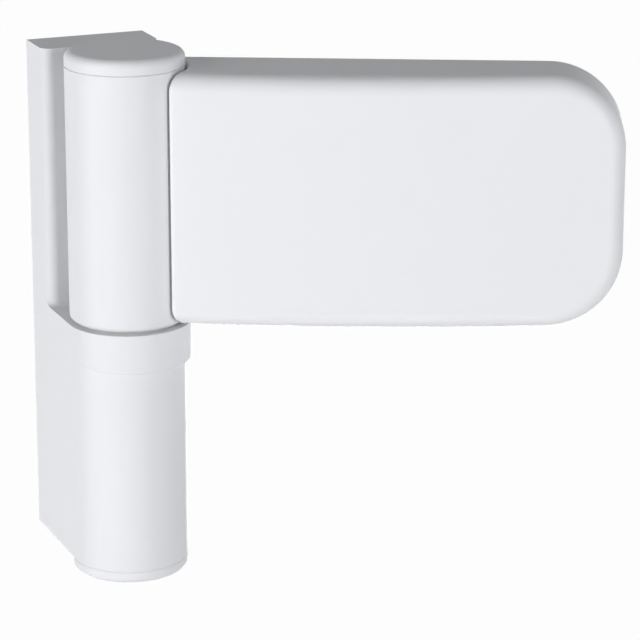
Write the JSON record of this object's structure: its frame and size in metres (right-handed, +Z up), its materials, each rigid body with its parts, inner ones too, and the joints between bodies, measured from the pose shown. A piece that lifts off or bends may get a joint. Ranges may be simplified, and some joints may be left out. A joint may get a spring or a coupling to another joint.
{
  "type": "screw-on door hinge",
  "caption": "White surface-mounted door hinge: a bracket with the lower knuckle for the frame, and a boxed leaf with the upper knuckle for the door, adjustable in height and sideways.",
  "frame": {"origin": "on the bracket's fixing face, in line with the pin, at the height of the parting plane between the knuckles", "axes": "+X along the door frame, towards the closed leaf; +Y into the door frame, out of the fixing face; +Z up along the pin"},
  "size_m": [0.097, 0.0654, 0.0996],
  "materials": {
    "white_coat": "satin white powder coat",
    "white_moulding": "satin white moulding",
    "zinc_steel": "bright zinc plated",
    "bearing_plastic": "natural bearing plastic",
    "zinc_plate": "plain die casting"
  },
  "bodies": {
    "frame_side": {"frame_bracket": "white_coat", "lower_bush": "bearing_plastic", "bottom_cap": "white_moulding"},
    "pin_carrier": {"hinge_pin": "zinc_steel", "thrust_pad": "bearing_plastic", "lift_guard_screw": "zinc_steel", "lift_guard_washer": "zinc_steel"},
    "height_adjuster": {"height_screw": "zinc_steel"},
    "leaf": {"leaf_arm": "white_coat", "upper_bush": "bearing_plastic", "top_cap": "white_moulding"},
    "door_side": {"base_plate": "zinc_plate", "cover": "white_moulding", "clamp_screw_inner": "zinc_steel", "clamp_screw_outer": "zinc_steel", "clamp_washer_inner": "zinc_steel", "clamp_washer_outer": "zinc_steel"},
    "lateral_adjuster": {"lateral_screw": "zinc_steel", "lateral_screw_clip": "zinc_steel"}
  },
  "joints": [
    {"name": "height_adjust", "type": "slide", "parent": "frame_side", "child": "pin_carrier", "axis": [0, 0, 1], "range_m": [0, 0.0035]},
    {"name": "height_screw_turn", "type": "hinge", "parent": "pin_carrier", "child": "height_adjuster", "pos_m": [0, -0.0228, 0], "axis": [0, 0, 1], "range_deg": [0, 720]},
    {"name": "door_swing", "type": "hinge", "parent": "pin_carrier", "child": "leaf", "pos_m": [0, -0.0228, 0], "axis": [0, 0, -1], "range_deg": [-25.5, 154.5]},
    {"name": "lateral_adjust", "type": "slide", "parent": "leaf", "child": "door_side", "axis": [0.9026, -0.4305, 0], "range_m": [0, 0.005]},
    {"name": "lateral_screw_turn", "type": "hinge", "parent": "door_side", "child": "lateral_adjuster", "pos_m": [0.05985, -0.05063, 0.0245], "axis": [0.9026, -0.4305, 0], "range_deg": [0, 2592]}
  ],
  "couplings": [
    {"joint": "height_screw_turn", "follows": "height_adjust", "rad_per_m": 3590.4},
    {"joint": "lateral_screw_turn", "follows": "lateral_adjust", "rad_per_m": 8976}
  ]
}
